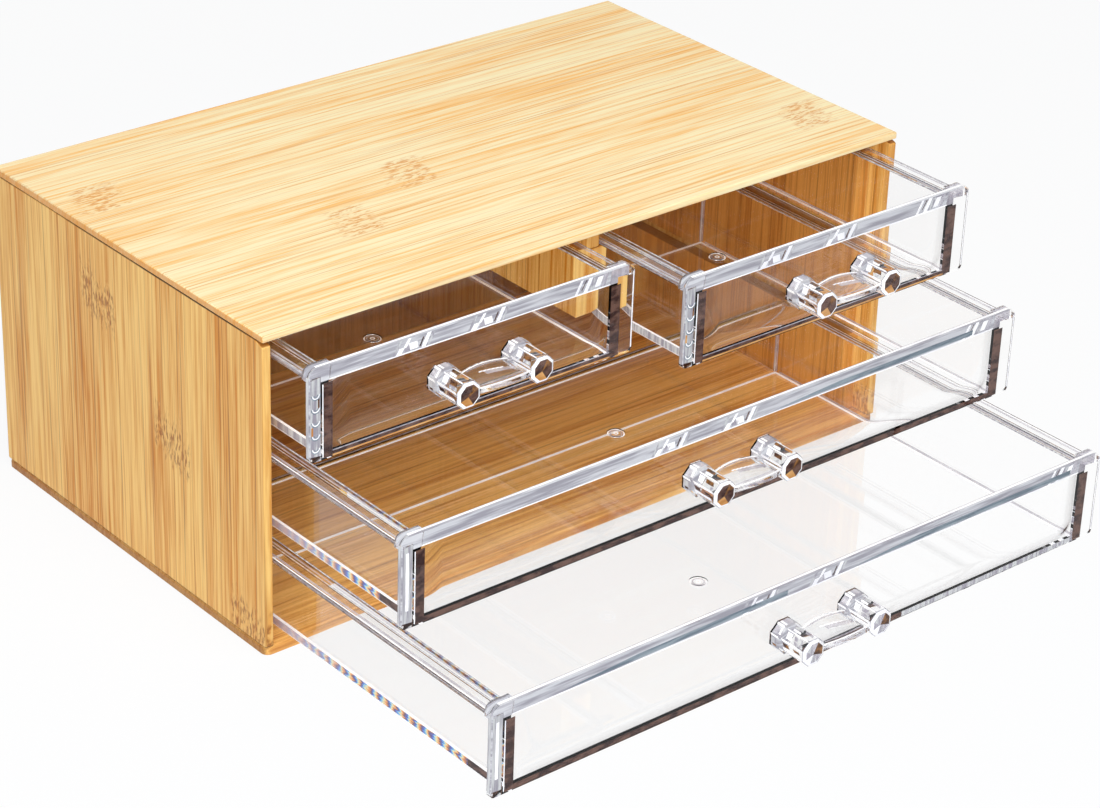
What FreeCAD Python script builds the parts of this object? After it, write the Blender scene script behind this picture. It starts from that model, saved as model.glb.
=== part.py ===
import FreeCAD, Part
import math
import os
import re

import Sketcher
from FreeCAD import Placement, Rotation, Vector

# Bamboo makeup organizer with four clear drawers.
# Frame: millimetres, +Z up, +X to the right and -Y to the front of the case.
# The origin is the centre of the case's underside. The drawers are drawn out as at rest.

doc = FreeCAD.newDocument("makeup_organizer")

# Driving sizes, one row each: name, value, meaning
SIZES = [
    ("case_width", 270, "outside width of the case"),
    ("case_depth", 156, "outside depth of the case"),
    ("case_height", 114, "outside height of the case"),
    ("top_thickness", 2.5, "top board"),
    ("top_edge_radius", 0.6, "rounding of the top board's upper edges"),
    ("bottom_thickness", 3, "bottom board"),
    ("bottom_corner_radius", 2.5, "rounding of the bottom board's upright corners"),
    ("bottom_edge_radius", 1.2, "rounding of the bottom board's upper edges in front"),
    ("side_thickness", 3.2, "side boards"),
    ("relief_height", 1.5, "relief at the side boards' top front corner, upright"),
    ("relief_depth", 4.5, "relief at the side boards' top front corner, front to back"),
    ("back_thickness", 3, "back board"),
    ("runner_thickness", 5.2, "runner strips inside the side boards"),
    ("runner_setback", 8, "runner strips behind the case's front"),
    ("slot_height", 4.8, "slots between the runner strips"),
    ("floor_gap", 1.6, "clearance between the bottom board and the lowest drawer front"),
    ("tier_gap", 4.3, "gap between drawer fronts of neighbouring tiers"),
    ("ceiling_gap", 2.3, "clearance between the upper drawer fronts and the top board"),
    ("divider_width", 12, "block between the upper drawers"),
    ("divider_lift", 4.8, "that block's underside above the foot of the upper drawer fronts"),
    ("divider_neck_width", 5.2, "strip between the block and the top board"),
    ("divider_setback", 4.5, "divider behind the case's front"),
    ("plate_thickness", 3.8, "drawer front inside its bevels"),
    ("plate_top_radius", 3, "upper corners of the drawer front"),
    ("plate_bottom_radius", 1.6, "lower corners of the drawer front"),
    ("plate_side_gap", 0.5, "clearance between drawer front and side board"),
    ("plate_centre_gap", 4.6, "gap between the two upper drawer fronts"),
    ("bevel_height", 6.3, "bevel behind the top of the drawer front"),
    ("bevel_depth", 2, "how much the bevels thin the drawer front's top and ends"),
    ("drawer_length", 152, "from drawer front to the back of its tray"),
    ("tray_drop", 3, "tray's rim below the top of the drawer front"),
    ("tray_wall", 3.3, "tray's side and back walls"),
    ("tray_floor", 1.6, "tray's floor"),
    ("tray_side_gap", 0.8, "clearance between tray and runner strips"),
    ("tray_divider_gap", 1.9, "clearance between tray and divider block"),
    ("tray_corner_radius", 4, "tray's upright corners at the back, outside"),
    ("tray_inner_corner_radius", 1.6, "tray's upright corners at the back, inside"),
    ("tray_floor_radius", 0.8, "fillet round the tray's floor, inside"),
    ("flange_width", 4.6, "tray's side flanges"),
    ("flange_thickness", 1.4, "tray's side flanges"),
    ("flange_lift", 0.3, "running gap under the flanges"),
    ("gate_diameter", 6.4, "gate mark on the tray's floor"),
    ("gate_depth", 0.4, "gate mark on the tray's floor"),
    ("gate_setback", 54.5, "gate mark behind the drawer front"),
    ("upper_left_open", 19, "upper left drawer drawn out at rest"),
    ("upper_right_open", 38.9, "upper right drawer drawn out at rest"),
    ("middle_open", 65.4, "middle drawer drawn out at rest"),
    ("bottom_open", 109.5, "bottom drawer drawn out at rest"),
    ("handle_drop", 1.5, "handle below the middle of the drawer front"),
    ("knob_spacing", 29.3, "between the two knobs of a handle"),
    ("knob_width", 9.2, "knob shaft across flats"),
    ("knob_length", 15, "knob in front of the drawer front"),
    ("knob_chamfer", 0.8, "knob end"),
    ("collar_width", 10.4, "knob collar across flats"),
    ("collar_length", 4.2, "knob collar at the drawer front"),
    ("bridge_thickness", 1.8, "bridge between the knobs"),
    ("bridge_rise", 1.2, "arch of the bridge over its span"),
    ("bridge_back", 5, "bridge's back edge at the knobs, from the drawer front"),
    ("bridge_front", 12.6, "bridge's front edge at the knobs, from the drawer front"),
    ("bridge_bow", 3.6, "how far the bridge's two long edges bow out at mid span"),
]

sheet = doc.addObject("Spreadsheet::Sheet", "Sizes")
for row, (alias, value, meaning) in enumerate(SIZES, start=1):
    sheet.set(f"A{row}", meaning)
    sheet.set(f"B{row}", str(value))
    sheet.setAlias(f"B{row}", alias)
doc.recompute()
NAMES = {alias for alias, value, meaning in SIZES}


def formula(text):
    """Turns each size's name in a formula into a reference to its cell."""
    return re.sub(r"[a-z_]+", lambda word: "Sizes." + word[0] if word[0] in NAMES else word[0], text)


def size(text):
    """The value of a formula, in millimetres."""
    return float(sheet.evalExpression(formula(text)))


def bind(thing, **formulas):
    """Binds properties of an object to formulas; a double underscore stands for a dot."""
    for name, text in formulas.items():
        thing.setExpression(name.replace("__", "."), formula(text))


subparts = []


def new_body(label, x, y, z):
    """An empty body, kept as one piece of the organizer and placed at x, y, z."""
    body = doc.addObject("PartDesign::Body", label)
    body.Label = label
    bind(body, Placement__Base__x=x, Placement__Base__y=y, Placement__Base__z=z)
    subparts.append(body)
    return body


def attach(feature, body, role, x="0", y="0", off="0", turn=0):
    """Attaches a feature to its own body's plane, shifted in it, off it and turned in it."""
    plane = next(item for item in body.Origin.OriginFeatures if item.Role == role)
    feature.AttachmentSupport = [(plane, "")]
    feature.MapMode = "FlatFace"
    feature.AttachmentOffset = Placement(Vector(), Rotation(Vector(0, 0, 1), turn))
    bind(feature, AttachmentOffset__Base__x=x, AttachmentOffset__Base__y=y)
    bind(feature, AttachmentOffset__Base__z=off)


def new_sketch(body, name, role, **shift):
    sketch = body.newObject("Sketcher::SketchObject", name)
    attach(sketch, body, role, **shift)
    return sketch


def dimension(sketch, kind, places, text):
    """Adds a driving dimension to a sketch and binds it to a formula."""
    number = sketch.addConstraint(Sketcher.Constraint(kind, *places, size(text)))
    sketch.setExpression(f"Constraints[{number}]", formula(text))


def hold(sketch, line, end, x, y):
    """Holds the end of a line or arc at x, y of the sketch."""
    for kind, axis, text in (("DistanceX", -2, x), ("DistanceY", -1, y)):
        if text == "0":
            sketch.addConstraint(Sketcher.Constraint("PointOnObject", line, end, axis))
        else:
            dimension(sketch, kind, (-1, 1, line, end), text)


def polygon(sketch, corners):
    """Closed outline through corners given as pairs of formulas."""
    points = [Vector(size(x), size(y), 0) for x, y in corners]
    first = sketch.GeometryCount
    count = len(points)
    for index, point in enumerate(points):
        sketch.addGeometry(Part.LineSegment(point, points[(index + 1) % count]), False)
    for index in range(count):
        after = first + (index + 1) % count
        sketch.addConstraint(Sketcher.Constraint("Coincident", first + index, 2, after, 1))
    for index, (x, y) in enumerate(corners):
        hold(sketch, first + index, 1, x, y)


def rectangle(sketch, width, height):
    """Rectangle to the right of and above the sketch's origin."""
    across = Vector(size(width), 0, 0)
    up = Vector(0, size(height), 0)
    corners = [Vector(), across, across + up, up]
    for index, corner in enumerate(corners):
        sketch.addGeometry(Part.LineSegment(corner, corners[(index + 1) % 4]), False)
    for index in range(4):
        sketch.addConstraint(Sketcher.Constraint("Coincident", index, 2, (index + 1) % 4, 1))
        sketch.addConstraint(Sketcher.Constraint("Vertical" if index % 2 else "Horizontal", index))
    sketch.addConstraint(Sketcher.Constraint("Coincident", 0, 1, -1, 1))
    dimension(sketch, "DistanceX", (0, 1, 0, 2), width)
    dimension(sketch, "DistanceY", (1, 1, 1, 2), height)


def circle(sketch, diameter):
    sketch.addGeometry(Part.Circle(Vector(), Vector(0, 0, 1), size(diameter) / 2), False)
    sketch.addConstraint(Sketcher.Constraint("Coincident", 0, 3, -1, 1))
    dimension(sketch, "Diameter", (0,), diameter)


def sweep(body, kind, name, sketch, length, reverse=False):
    """Pad or pocket of a sketch with its length bound to a formula."""
    before = body.Shape.Volume if body.Tip else 0
    feature = body.newObject(kind, name)
    feature.Profile = sketch
    feature.Reversed = reverse
    bind(feature, Length=length)
    sketch.Visibility = False
    doc.recompute()
    gain = feature.Shape.Volume - before
    if (gain < 0.01) if kind.endswith("Pad") else (gain > -0.01):
        raise RuntimeError(f"{body.Label}: {name} changes the volume by {gain}")
    return feature


def pad(body, name, sketch, length, reverse=False):
    return sweep(body, "PartDesign::Pad", name, sketch, length, reverse)


def pocket(body, name, sketch, length, reverse=False):
    return sweep(body, "PartDesign::Pocket", name, sketch, length, reverse)


def same(a, b):
    return abs(a - b) < 1e-4


def upright(box):
    return same(box.XLength, 0) and same(box.YLength, 0)


def soften(body, kind, name, radius, test):
    """Fillet or chamfer on the edges of the body whose bounding boxes pass the test."""
    tip = body.Tip
    edges = enumerate(tip.Shape.Edges, start=1)
    chosen = [f"Edge{number}" for number, edge in edges if test(edge.BoundBox)]
    feature = body.newObject(kind, name)
    feature.Base = (tip, chosen)
    bind(feature, **{"Radius" if kind.endswith("Fillet") else "Size": radius})
    doc.recompute()
    return feature


def fillet(body, name, radius, test):
    return soften(body, "PartDesign::Fillet", name, radius, test)


# Positions that several pieces share
CASE_LEFT = "(-case_width / 2)"
CASE_FRONT = "(-case_depth / 2)"
TOP_UNDERSIDE = "(case_height - top_thickness)"
BACK_FACE = "(case_depth / 2 - back_thickness)"
SIDE_FACE = "(case_width / 2 - side_thickness)"
RUNNER_FACE = f"({SIDE_FACE} - runner_thickness)"
CLEAR_HEIGHT = f"({TOP_UNDERSIDE} - bottom_thickness - floor_gap - ceiling_gap)"
TIERS = ("lower", "middle", "upper")
TIER_GAPS = f"({len(TIERS) - 1} * tier_gap)"
PLATE_HEIGHT = f"(({CLEAR_HEIGHT} - {TIER_GAPS}) / {len(TIERS)})"
TRAY_HEIGHT = f"({PLATE_HEIGHT} - tray_drop)"
TRAY_LENGTH = "(drawer_length - plate_thickness)"
UNDER_FLANGE = f"({TRAY_HEIGHT} - flange_thickness)"


def plate_foot(tier):
    """Height of the foot of a tier's drawer fronts, counted from the lowest tier."""
    return f"(bottom_thickness + floor_gap + {tier} * ({PLATE_HEIGHT} + tier_gap))"


def slot_floor(tier):
    """Height of the floor of a tier's slots, which carry the flanges of its drawers."""
    return f"({plate_foot(tier)} + {TRAY_HEIGHT} - flange_thickness - flange_lift)"


def board(label, x, y, z, width, depth, height):
    """Board or strip with its front left lower corner at x, y, z."""
    body = new_body(label, x, y, z)
    outline = new_sketch(body, "Outline", "XY_Plane")
    rectangle(outline, width, depth)
    pad(body, "Board", outline, height)
    return body


# Top and bottom boards, as wide and deep as the case
top_board = board(
    "top_board", CASE_LEFT, CASE_FRONT, TOP_UNDERSIDE, "case_width", "case_depth", "top_thickness"
)
top_face = size("top_thickness")
fillet(
    top_board, "UpperEdges", "top_edge_radius",
    lambda box: same(box.ZLength, 0) and same(box.ZMin, top_face),
)

bottom_board = board(
    "bottom_board", CASE_LEFT, CASE_FRONT, "0", "case_width", "case_depth", "bottom_thickness"
)
fillet(bottom_board, "Corners", "bottom_corner_radius", upright)
bottom_face = size("bottom_thickness")
front_limit = size("bottom_corner_radius") + 0.1
fillet(
    bottom_board, "FrontEdge", "bottom_edge_radius",
    lambda box: same(box.ZMin, bottom_face) and box.YMax < front_limit and same(box.YLength, 0),
)

# Side boards between them, relieved at the top front corner
SIDE_HEIGHT = f"({TOP_UNDERSIDE} - bottom_thickness)"
for label, x in (("side_panel_left", CASE_LEFT), ("side_panel_right", SIDE_FACE)):
    side_panel = new_body(label, x, CASE_FRONT, "bottom_thickness")
    outline = new_sketch(side_panel, "Outline", "YZ_Plane")
    polygon(outline, [
        ("0", "0"),
        ("case_depth", "0"),
        ("case_depth", SIDE_HEIGHT),
        ("relief_depth", SIDE_HEIGHT),
        ("0", f"{SIDE_HEIGHT} - relief_height"),
    ])
    pad(side_panel, "Board", outline, "side_thickness")

# Back board between the side boards
board(
    "back_panel", f"-{SIDE_FACE}", BACK_FACE, "bottom_thickness",
    f"2 * {SIDE_FACE}", "back_thickness", SIDE_HEIGHT,
)

# Runner strips: three each side, with a slot above each for the drawers' flanges
RUNNER_FRONT = f"({CASE_FRONT} + runner_setback)"
RUNNER_LENGTH = f"({BACK_FACE} - {RUNNER_FRONT})"
strip_foot = "bottom_thickness"
for tier, name in enumerate(TIERS):
    height = f"{slot_floor(tier)} - {strip_foot}"
    for side, x in (("left", f"-{SIDE_FACE}"), ("right", RUNNER_FACE)):
        board(
            f"runner_strip_{side}_{name}", x, RUNNER_FRONT, strip_foot,
            "runner_thickness", RUNNER_LENGTH, height,
        )
    strip_foot = f"({slot_floor(tier)} + slot_height)"

# Divider between the two upper drawers: a block that carries them, on a thinner neck
DIVIDER_FRONT = f"({CASE_FRONT} + divider_setback)"
DIVIDER_LENGTH = f"({BACK_FACE} - {DIVIDER_FRONT})"
BLOCK_FOOT = f"({plate_foot(len(TIERS) - 1)} + divider_lift)"
BLOCK_TOP = slot_floor(len(TIERS) - 1)
board(
    "divider_block", "-divider_width / 2", DIVIDER_FRONT, BLOCK_FOOT,
    "divider_width", DIVIDER_LENGTH, f"{BLOCK_TOP} - {BLOCK_FOOT}",
)
board(
    "divider_neck", "-divider_neck_width / 2", DIVIDER_FRONT, BLOCK_TOP,
    "divider_neck_width", DIVIDER_LENGTH, f"{TOP_UNDERSIDE} - {BLOCK_TOP}",
)


def drawer_plate(label, left, right, tray_left, tray_right, y, z):
    """Drawer front, bevelled behind its top between the tray's walls and behind its two ends."""
    body = new_body(label, left, y, z)
    width = f"({right} - {left})"
    outline = new_sketch(body, "Outline", "XZ_Plane")
    rectangle(outline, width, PLATE_HEIGHT)
    pad(body, "Plate", outline, "plate_thickness", reverse=True)
    middle = size(f"{PLATE_HEIGHT} / 2")
    for name, radius, above in (("Upper", "plate_top_radius", True), ("Lower", "plate_bottom_radius", False)):
        fillet(
            body, name + "Corners", radius,
            lambda box: same(box.XLength, 0) and same(box.ZLength, 0) and (box.ZMin > middle) == above,
        )
    edge = "plate_thickness - bevel_depth"
    top = new_sketch(body, "TopBevelOutline", "YZ_Plane", off=f"{tray_right} - tray_wall - {left}")
    polygon(top, [
        ("plate_thickness", f"{PLATE_HEIGHT} - bevel_height"),
        ("plate_thickness", PLATE_HEIGHT),
        (edge, PLATE_HEIGHT),
    ])
    pocket(body, "TopBevel", top, f"{tray_right} - {tray_left} - 2 * tray_wall")
    for name, end, start in (("Left", "0", f"{tray_left} - {left}"), ("Right", width, f"{tray_right} - {left}")):
        foot = new_sketch(body, name + "BevelOutline", "XY_Plane", off=UNDER_FLANGE)
        polygon(foot, [(start, "plate_thickness"), (end, "plate_thickness"), (end, edge)])
        pocket(body, name + "Bevel", foot, UNDER_FLANGE)


def drawer_tray(label, left, right, y, z):
    """Tray, open on top and in front, with a flange along the rim of each side wall."""
    body = new_body(label, left, f"{y} + plate_thickness", z)
    width = f"({right} - {left})"
    outline = new_sketch(body, "Outline", "XY_Plane")
    rectangle(outline, width, TRAY_LENGTH)
    pad(body, "Block", outline, TRAY_HEIGHT)
    back = size(TRAY_LENGTH)
    fillet(body, "BackCorners", "tray_corner_radius", lambda box: upright(box) and same(box.YMin, back))

    hollow = new_sketch(body, "Hollow", "XY_Plane", x="tray_wall", off=TRAY_HEIGHT)
    rectangle(hollow, f"{width} - 2 * tray_wall", f"{TRAY_LENGTH} - tray_wall")
    pocket(body, "Inside", hollow, f"{TRAY_HEIGHT} - tray_floor")
    floor = size("tray_floor")
    wall = size("tray_wall")
    fillet(
        body, "InnerCorners", "tray_inner_corner_radius",
        lambda box: upright(box) and same(box.ZMin, floor) and box.YMin > wall,
    )
    fillet(
        body, "FloorEdges", "tray_floor_radius",
        lambda box: same(box.ZLength, 0) and same(box.ZMin, floor) and box.YMax > wall,
    )

    flange_length = f"{TRAY_LENGTH} - tray_corner_radius"
    for name, x in (("Left", "-flange_width"), ("Right", f"{width} - tray_wall")):
        flange = new_sketch(
            body, name + "FlangeOutline", "XY_Plane", x=x, off=UNDER_FLANGE
        )
        rectangle(flange, "flange_width + tray_wall", flange_length)
        pad(body, name + "Flange", flange, "flange_thickness")

    gate = new_sketch(
        body, "GateOutline", "XY_Plane", x=f"{width} / 2", y="gate_setback - plate_thickness",
        off="tray_floor",
    )
    circle(gate, "gate_diameter")
    pocket(body, "GateMark", gate, "gate_depth")


def bow(sketch, half_span, rise, side, height):
    """Arc over x from minus to plus half span, bowing to one side of a level line.

    Returns its right and its left end."""
    half = size(half_span)
    radius = (half * half + size(rise) ** 2) / (2 * size(rise))
    centre = Vector(0, size(height) + side * (size(rise) - radius), 0)
    spread = math.asin(half / radius)
    turn = side * math.pi / 2
    round_line = Part.Circle(centre, Vector(0, 0, 1), radius)
    arc = sketch.addGeometry(Part.ArcOfCircle(round_line, turn - spread, turn + spread), False)
    right, left = (1, 2) if side > 0 else (2, 1)
    hold(sketch, arc, right, half_span, height)
    hold(sketch, arc, left, f"-{half_span}", height)
    dimension(sketch, "Radius", (arc,), f"({half_span}^2 + {rise}^2) / (2 * {rise})")
    return (arc, right), (arc, left)


def join(sketch, start, stop):
    """Straight line between the ends of two arcs."""
    line = sketch.addGeometry(Part.LineSegment(sketch.getPoint(*start), sketch.getPoint(*stop)), False)
    sketch.addConstraint(Sketcher.Constraint("Coincident", line, 1, *start))
    sketch.addConstraint(Sketcher.Constraint("Coincident", line, 2, *stop))


def prism(body, name, x, width, length):
    """Eight-sided prism out of the drawer front, flat side up, given across its flats."""
    feature = body.newObject("PartDesign::AdditivePrism", name)
    feature.Polygon = 8
    attach(feature, body, "XZ_Plane", x=x, turn=22.5)
    bind(feature, Circumradius=f"{width} / 2 / cos(22.5)", Height=length)
    doc.recompute()


def handle(label, x, y, z):
    """Two knobs with collars and an arched bridge between them, seen from above a leaf."""
    body = new_body(label, x, y, f"{z} + {PLATE_HEIGHT} / 2 - handle_drop")
    half_span = "(knob_spacing / 2)"
    reach = "(bridge_front + 2 * bridge_bow)"

    strip = new_sketch(body, "StripOutline", "XZ_Plane", y="-(bridge_thickness + bridge_rise) / 2")
    long_span = "(knob_spacing / 2 + knob_chamfer)"
    lower = bow(strip, long_span, "bridge_rise", 1, "0")
    upper = bow(strip, long_span, "bridge_rise", 1, "bridge_thickness")
    for start, stop in zip(lower, upper):
        join(strip, start, stop)
    pad(body, "Strip", strip, reach)

    trim = new_sketch(body, "TrimOutline", "XY_Plane", off="knob_width / 2")
    side = "knob_spacing"
    corners = [
        (f"-{side}", "bridge_bow"),
        (f"-{side}", f"-{reach} - bridge_bow"),
        (side, f"-{reach} - bridge_bow"),
        (side, "bridge_bow"),
    ]
    polygon(trim, corners)
    near = bow(trim, half_span, "bridge_bow", 1, "-bridge_back")
    far = bow(trim, half_span, "bridge_bow", -1, "-bridge_front")
    for start, stop in zip(near, far):
        join(trim, start, stop)
    pocket(body, "Trim", trim, "knob_width")

    half = "knob_width / 2"
    facet = "knob_width / 2 * tan(22.5)"
    octagon = [
        (half, facet), (facet, half), (f"-{facet}", half), (f"-{half}", facet),
        (f"-{half}", f"-{facet}"), (f"-{facet}", f"-{half}"), (facet, f"-{half}"), (half, f"-{facet}"),
    ]
    shaft = "knob_length - knob_chamfer"
    for name, knob_x in (("Left", f"-{half_span}"), ("Right", half_span)):
        prism(body, name + "Collar", knob_x, "collar_width", "collar_length")
        prism(body, name + "Knob", knob_x, "knob_width", shaft)
        end = new_sketch(body, name + "EndOutline", "XZ_Plane", x=knob_x, off=shaft)
        polygon(end, octagon)
        tip = pad(body, name + "End", end, "knob_chamfer")
        tip.TaperAngle = -45


# Drawers: each a front, a tray behind it and a handle on it
PLATE_SIDE = f"({SIDE_FACE} - plate_side_gap)"
PLATE_MIDDLE = "(plate_centre_gap / 2)"
TRAY_SIDE = f"({RUNNER_FACE} - tray_side_gap)"
TRAY_MIDDLE = "(divider_width / 2 + tray_divider_gap)"
WIDE = (f"(-{PLATE_SIDE})", PLATE_SIDE, f"(-{TRAY_SIDE})", TRAY_SIDE)
LEFT = (f"(-{PLATE_SIDE})", f"(-{PLATE_MIDDLE})", f"(-{TRAY_SIDE})", f"(-{TRAY_MIDDLE})")
RIGHT = (PLATE_MIDDLE, PLATE_SIDE, TRAY_MIDDLE, TRAY_SIDE)
DRAWERS = [
    [("bottom", WIDE)],
    [("middle", WIDE)],
    [("upper_left", LEFT), ("upper_right", RIGHT)],
]
for tier, drawers in enumerate(DRAWERS):
    for name, (plate_left, plate_right, tray_left, tray_right) in drawers:
        y = f"({CASE_FRONT} - {name}_open)"
        z = plate_foot(tier)
        drawer_tray(f"{name}_tray", tray_left, tray_right, y, z)
        drawer_plate(f"{name}_plate", plate_left, plate_right, tray_left, tray_right, y, z)
        handle(f"{name}_handle", f"({plate_left} + {plate_right}) / 2", y, z)

doc.recompute()

# Every object has to be sound before anything is written
for thing in doc.Objects:
    if any(word in thing.State for word in ("Invalid", "Error")):
        raise RuntimeError(f"{thing.Label} has state {thing.State}")
for body in subparts:
    if body.Shape.isNull() or not body.Shape.isValid() or len(body.Shape.Solids) != 1:
        raise RuntimeError(f"{body.Label} is not one sound solid")

os.makedirs("parts", exist_ok=True)
for body in subparts:
    body.Shape.exportStep(os.path.join("parts", body.Label + ".step"))
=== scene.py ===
import math

import bmesh
import bpy
from mathutils import Matrix, Vector


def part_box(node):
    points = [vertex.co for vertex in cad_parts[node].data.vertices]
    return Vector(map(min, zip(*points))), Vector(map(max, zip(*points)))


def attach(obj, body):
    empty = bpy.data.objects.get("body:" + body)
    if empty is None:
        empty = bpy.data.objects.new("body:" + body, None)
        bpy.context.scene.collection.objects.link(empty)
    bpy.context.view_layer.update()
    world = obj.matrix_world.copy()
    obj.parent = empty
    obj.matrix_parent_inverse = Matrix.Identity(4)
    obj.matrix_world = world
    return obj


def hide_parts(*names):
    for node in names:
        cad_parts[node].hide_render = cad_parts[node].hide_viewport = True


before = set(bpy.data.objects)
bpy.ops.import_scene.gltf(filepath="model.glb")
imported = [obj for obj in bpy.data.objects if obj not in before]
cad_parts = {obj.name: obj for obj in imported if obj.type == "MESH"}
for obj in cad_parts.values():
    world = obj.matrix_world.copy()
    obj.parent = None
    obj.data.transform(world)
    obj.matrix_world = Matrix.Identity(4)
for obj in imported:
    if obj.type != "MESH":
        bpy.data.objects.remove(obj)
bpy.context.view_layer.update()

MM = 0.001

# Bamboo desk-top drawer box with four clear drawers, dressed over its solids.
# Row frame: +Z up, -Y out of the front, origin under the middle of the case.

# Sizes of the clear mouldings in millimetres, as in the solids
PLATE = 3.8
PLATE_TOP_RADIUS = 3.0
PLATE_FOOT_RADIUS = 1.6
BEVEL_HEIGHT = 6.3
BEVEL_DEPTH = 2.0
WALL = 3.3
FLOOR = 1.6
FLANGE = 4.6
FLANGE_THICKNESS = 1.4
BACK_CORNER = 4.0
INNER_CORNER = 1.6
KNOB_SPACING = 29.3
KNOB_WIDTH = 9.2
KNOB_LENGTH = 15.0
KNOB_CHAMFER = 0.8
COLLAR_WIDTH = 10.4
COLLAR_LENGTH = 4.2
HANDLE_DROP = 1.5
BRIDGE = 1.8
BRIDGE_RISE = 1.2
BRIDGE_BACK = 5.0
BRIDGE_FRONT = 12.6
BRIDGE_BOW = 3.6
GATE_WIDTH = 6.4
GATE_SETBACK = 54.5
# thickness of the thin slips that carry painted light and shade inside the plastic
SLIP = 0.06

# Bamboo slats that the boards are glued up from
SLAT = 21.0
SLAT_START = 4.5
EASED = 0.5
DRAWERS = ("upper_left", "upper_right", "middle", "bottom")


# Mesh helpers

def solid(name, build):
    """New mesh object whose faces build() makes; lengths inside are millimetres."""
    mesh = bpy.data.meshes.new(name)
    work = bmesh.new()
    build(work)
    bmesh.ops.recalc_face_normals(work, faces=work.faces)
    bmesh.ops.scale(work, vec=(MM, MM, MM), verts=work.verts)
    work.to_mesh(mesh)
    work.free()
    thing = bpy.data.objects.new(name, mesh)
    bpy.context.scene.collection.objects.link(thing)
    return thing


def extrude(work, outline, shift):
    """Closed prism from an outline of points, carried along a vector."""
    near = [work.verts.new(point) for point in outline]
    far = [work.verts.new(Vector(point) + Vector(shift)) for point in outline]
    work.faces.new(near)
    work.faces.new(far[::-1])
    count = len(outline)
    for index in range(count):
        after = (index + 1) % count
        work.faces.new((near[index], far[index], far[after], near[after]))


def rounded(x0, x1, y0, y1, radii, steps=8):
    """Corner points of a rectangle with a radius at each corner, from x0, y0 anticlockwise."""
    corners = ((x0, y0, 1, 1), (x1, y0, -1, 1), (x1, y1, -1, -1), (x0, y1, 1, -1))
    points = []
    for index, ((x, y, sx, sy), radius) in enumerate(zip(corners, radii)):
        if radius <= 0:
            points.append((x, y))
            continue
        start = math.pi + index * math.pi / 2
        for step in range(steps + 1):
            angle = start + step / steps * math.pi / 2
            points.append((
                x + sx * radius + radius * math.cos(angle),
                y + sy * radius + radius * math.sin(angle),
            ))
    return points


def block(x0, x1, y0, y1, z0, z1):
    return solid("block", lambda work: extrude(
        work, [(x0, y0, z0), (x1, y0, z0), (x1, y1, z0), (x0, y1, z0)], (0, 0, z1 - z0)
    ))


def combine(thing, other, operation):
    """Joins or cuts a mesh with another, which is used up."""
    change = thing.modifiers.new("change", "BOOLEAN")
    change.operation = operation
    change.solver = "EXACT"
    change.object = other
    bpy.context.view_layer.update()
    shape = bpy.data.meshes.new_from_object(
        thing.evaluated_get(bpy.context.evaluated_depsgraph_get())
    )
    thing.modifiers.clear()
    old = thing.data
    thing.data = shape
    bpy.data.meshes.remove(old)
    bpy.data.objects.remove(other)
    return thing


def join(thing, other):
    return combine(thing, other, "UNION")


def cut(thing, other):
    return combine(thing, other, "DIFFERENCE")


# Clear drawers: tray, front plate and handle are one piece of plastic to the eye

def octagon(x, y, z, across):
    """Eight points round a line along Y, flat side up."""
    radius = across / 2 / math.cos(math.pi / 8)
    return [
        (x + radius * math.cos(angle), y, z + radius * math.sin(angle))
        for angle in (math.pi / 8 + index * math.pi / 4 for index in range(8))
    ]


def knob(x, y, z):
    """Eight-sided knob with its collar and a chamfered end, standing out of the plate."""
    def build(work):
        rings = (
            (0.4, COLLAR_WIDTH),
            (-COLLAR_LENGTH + 0.3, COLLAR_WIDTH),
            (-COLLAR_LENGTH, COLLAR_WIDTH - 0.6),
            (-COLLAR_LENGTH, KNOB_WIDTH),
            (-KNOB_LENGTH + KNOB_CHAMFER, KNOB_WIDTH),
            (-KNOB_LENGTH, KNOB_WIDTH - 2 * KNOB_CHAMFER),
        )
        rows = [[work.verts.new(point) for point in octagon(x, y + off, z, across)] for off, across in rings]
        work.faces.new(rows[0])
        work.faces.new(rows[-1][::-1])
        for near, far in zip(rows, rows[1:]):
            for index in range(8):
                after = (index + 1) % 8
                work.faces.new((near[index], near[after], far[after], far[index]))
    return solid("knob", build)


def bridge(x, y, z):
    """Leaf-shaped strip between the knobs, arched along its span."""
    half = KNOB_SPACING / 2
    across = 8
    along = 24

    def build(work):
        def grid(lift):
            rows = []
            for i in range(along + 1):
                u = -1 + 2 * i / along
                bow = BRIDGE_BOW * (1 - u * u)
                rise = BRIDGE_RISE * (1 - u * u)
                back = -BRIDGE_BACK + bow
                front = -BRIDGE_FRONT - bow
                row = []
                for j in range(across + 1):
                    v = j / across
                    foot = z - (BRIDGE + BRIDGE_RISE) / 2
                    row.append(work.verts.new((x + u * half, y + back + (front - back) * v, foot + rise + lift)))
                rows.append(row)
            return rows
        low, high = grid(0), grid(BRIDGE)
        for i in range(along):
            for j in range(across):
                for rows in (low, high):
                    work.faces.new((rows[i][j], rows[i + 1][j], rows[i + 1][j + 1], rows[i][j + 1]))
        for i in range(along):
            for j in (0, across):
                work.faces.new((low[i][j], low[i + 1][j], high[i + 1][j], high[i][j]))
        for j in range(across):
            for i in (0, along):
                work.faces.new((low[i][j], low[i][j + 1], high[i][j + 1], high[i][j]))
    return solid("bridge", build)


def ring(x, y, z, outer, inner, height):
    def build(work):
        count = 32
        rings = []
        for radius, level in ((outer, 0), (outer, height), (inner, height), (inner, 0)):
            rings.append([
                work.verts.new((
                    x + radius * math.cos(2 * math.pi * i / count),
                    y + radius * math.sin(2 * math.pi * i / count),
                    z + level,
                ))
                for i in range(count)
            ])
        for near, far in zip(rings, rings[1:] + rings[:1]):
            for i in range(count):
                after = (i + 1) % count
                work.faces.new((near[i], near[after], far[after], far[i]))
    return solid("ring", build)


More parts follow.
